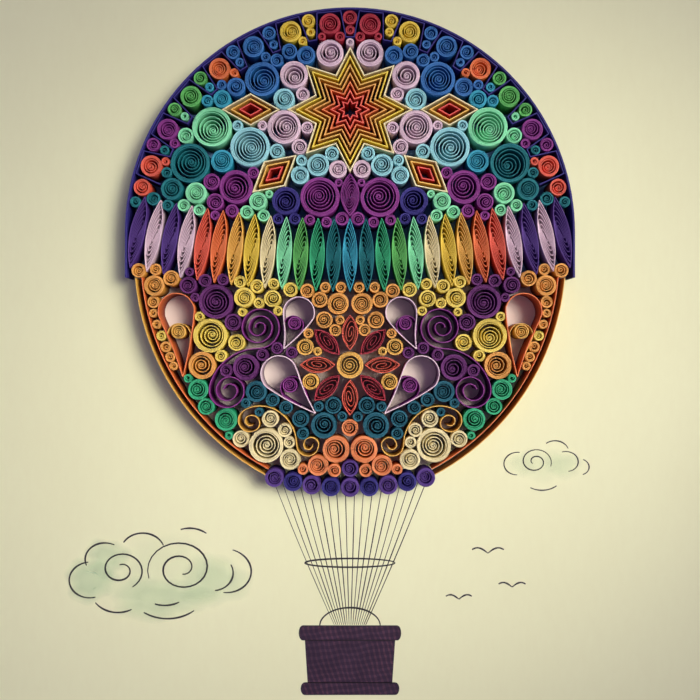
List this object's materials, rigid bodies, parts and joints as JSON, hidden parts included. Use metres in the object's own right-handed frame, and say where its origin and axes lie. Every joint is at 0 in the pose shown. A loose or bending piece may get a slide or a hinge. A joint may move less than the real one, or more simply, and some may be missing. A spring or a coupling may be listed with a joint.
{
  "type": "quilled paper picture",
  "caption": "Quilled paper picture of a hot-air balloon: rolled, folded and pinched paper strips stand on edge, glued to a square backing card",
  "frame": {"origin": "centre of the back of the card, where the picture lies on a flat surface", "axes": "+X to the right and +Y to the top of the picture, +Z out of the card towards the viewer"},
  "size_m": [0.3048, 0.3048, 0.0115],
  "materials": {
    "amber": "matt",
    "apricot": "matt",
    "aqua": "matt",
    "blue": "matt",
    "coral": "matt",
    "cream": "matt",
    "cream_card": "matt",
    "crimson": "matt",
    "gold": "matt",
    "green": "matt",
    "indigo": "matt",
    "lemon": "matt",
    "lilac": "matt",
    "mint": "matt",
    "orange": "matt",
    "petrol": "matt",
    "plum": "matt",
    "purple": "matt",
    "red": "matt",
    "sea_green": "matt",
    "teal": "matt",
    "turquoise": "matt",
    "violet": "matt",
    "yellow": "matt"
  },
  "bodies": {
    "root": {"amber_bowl_coils": "amber", "apricot_bowl_coils": "apricot", "aqua_dome_coils": "aqua", "backing_card": "cream_card", "blue_border_beads": "blue", "blue_dome_coils": "blue", "coral_band_leaves": "coral", "coral_border_beads": "coral", "coral_petals": "coral", "cream_band_leaves": "cream", "cream_bowl_coils": "cream", "crimson_border_beads": "crimson", "crimson_petals": "crimson", "dome_rim_strip": "indigo", "flower_eye_coil": "gold", "folded_border_strip": "indigo", "gold_band_leaves": "gold", "gold_bowl_strips": "gold", "gold_scrolls": "gold", "green_band_leaves": "green", "green_border_beads": "green", "indigo_dome_coils": "indigo", "indigo_mouth_coils": "indigo", "lemon_bowl_coils": "lemon", "lilac_band_leaves": "lilac", "lilac_dome_coils": "lilac", "lilac_open_loops": "lilac", "mint_band_leaves": "mint", "mint_dome_coils": "mint", "orange_band_leaves": "orange", "orange_border_beads": "orange", "orange_bowl_strips": "orange", "orange_open_loops": "orange", "petrol_bowl_coils": "petrol", "plum_bowl_coils": "plum", "purple_border_beads": "purple", "purple_dome_coils": "purple", "purple_scrolls": "purple", "ray_cream_strips": "cream", "ray_gold_strips": "gold", "ray_red_strips": "red", "sea_green_band_leaves": "sea_green", "sea_green_bowl_coils": "sea_green", "sun_amber_strip": "amber", "sun_coral_strip": "coral", "sun_cream_strip": "cream", "sun_gold_strip": "gold", "sun_orange_strip": "orange", "sun_pendant_leaf": "purple", "sun_red_strip": "red", "sun_yellow_strip": "yellow", "teal_band_leaves": "teal", "teal_dome_coils": "teal", "turquoise_band_leaves": "turquoise", "turquoise_dome_coils": "turquoise", "violet_band_leaves": "violet", "violet_mouth_coils": "violet", "yellow_band_leaves": "yellow", "yellow_border_beads": "yellow"}
  },
  "joints": []
}
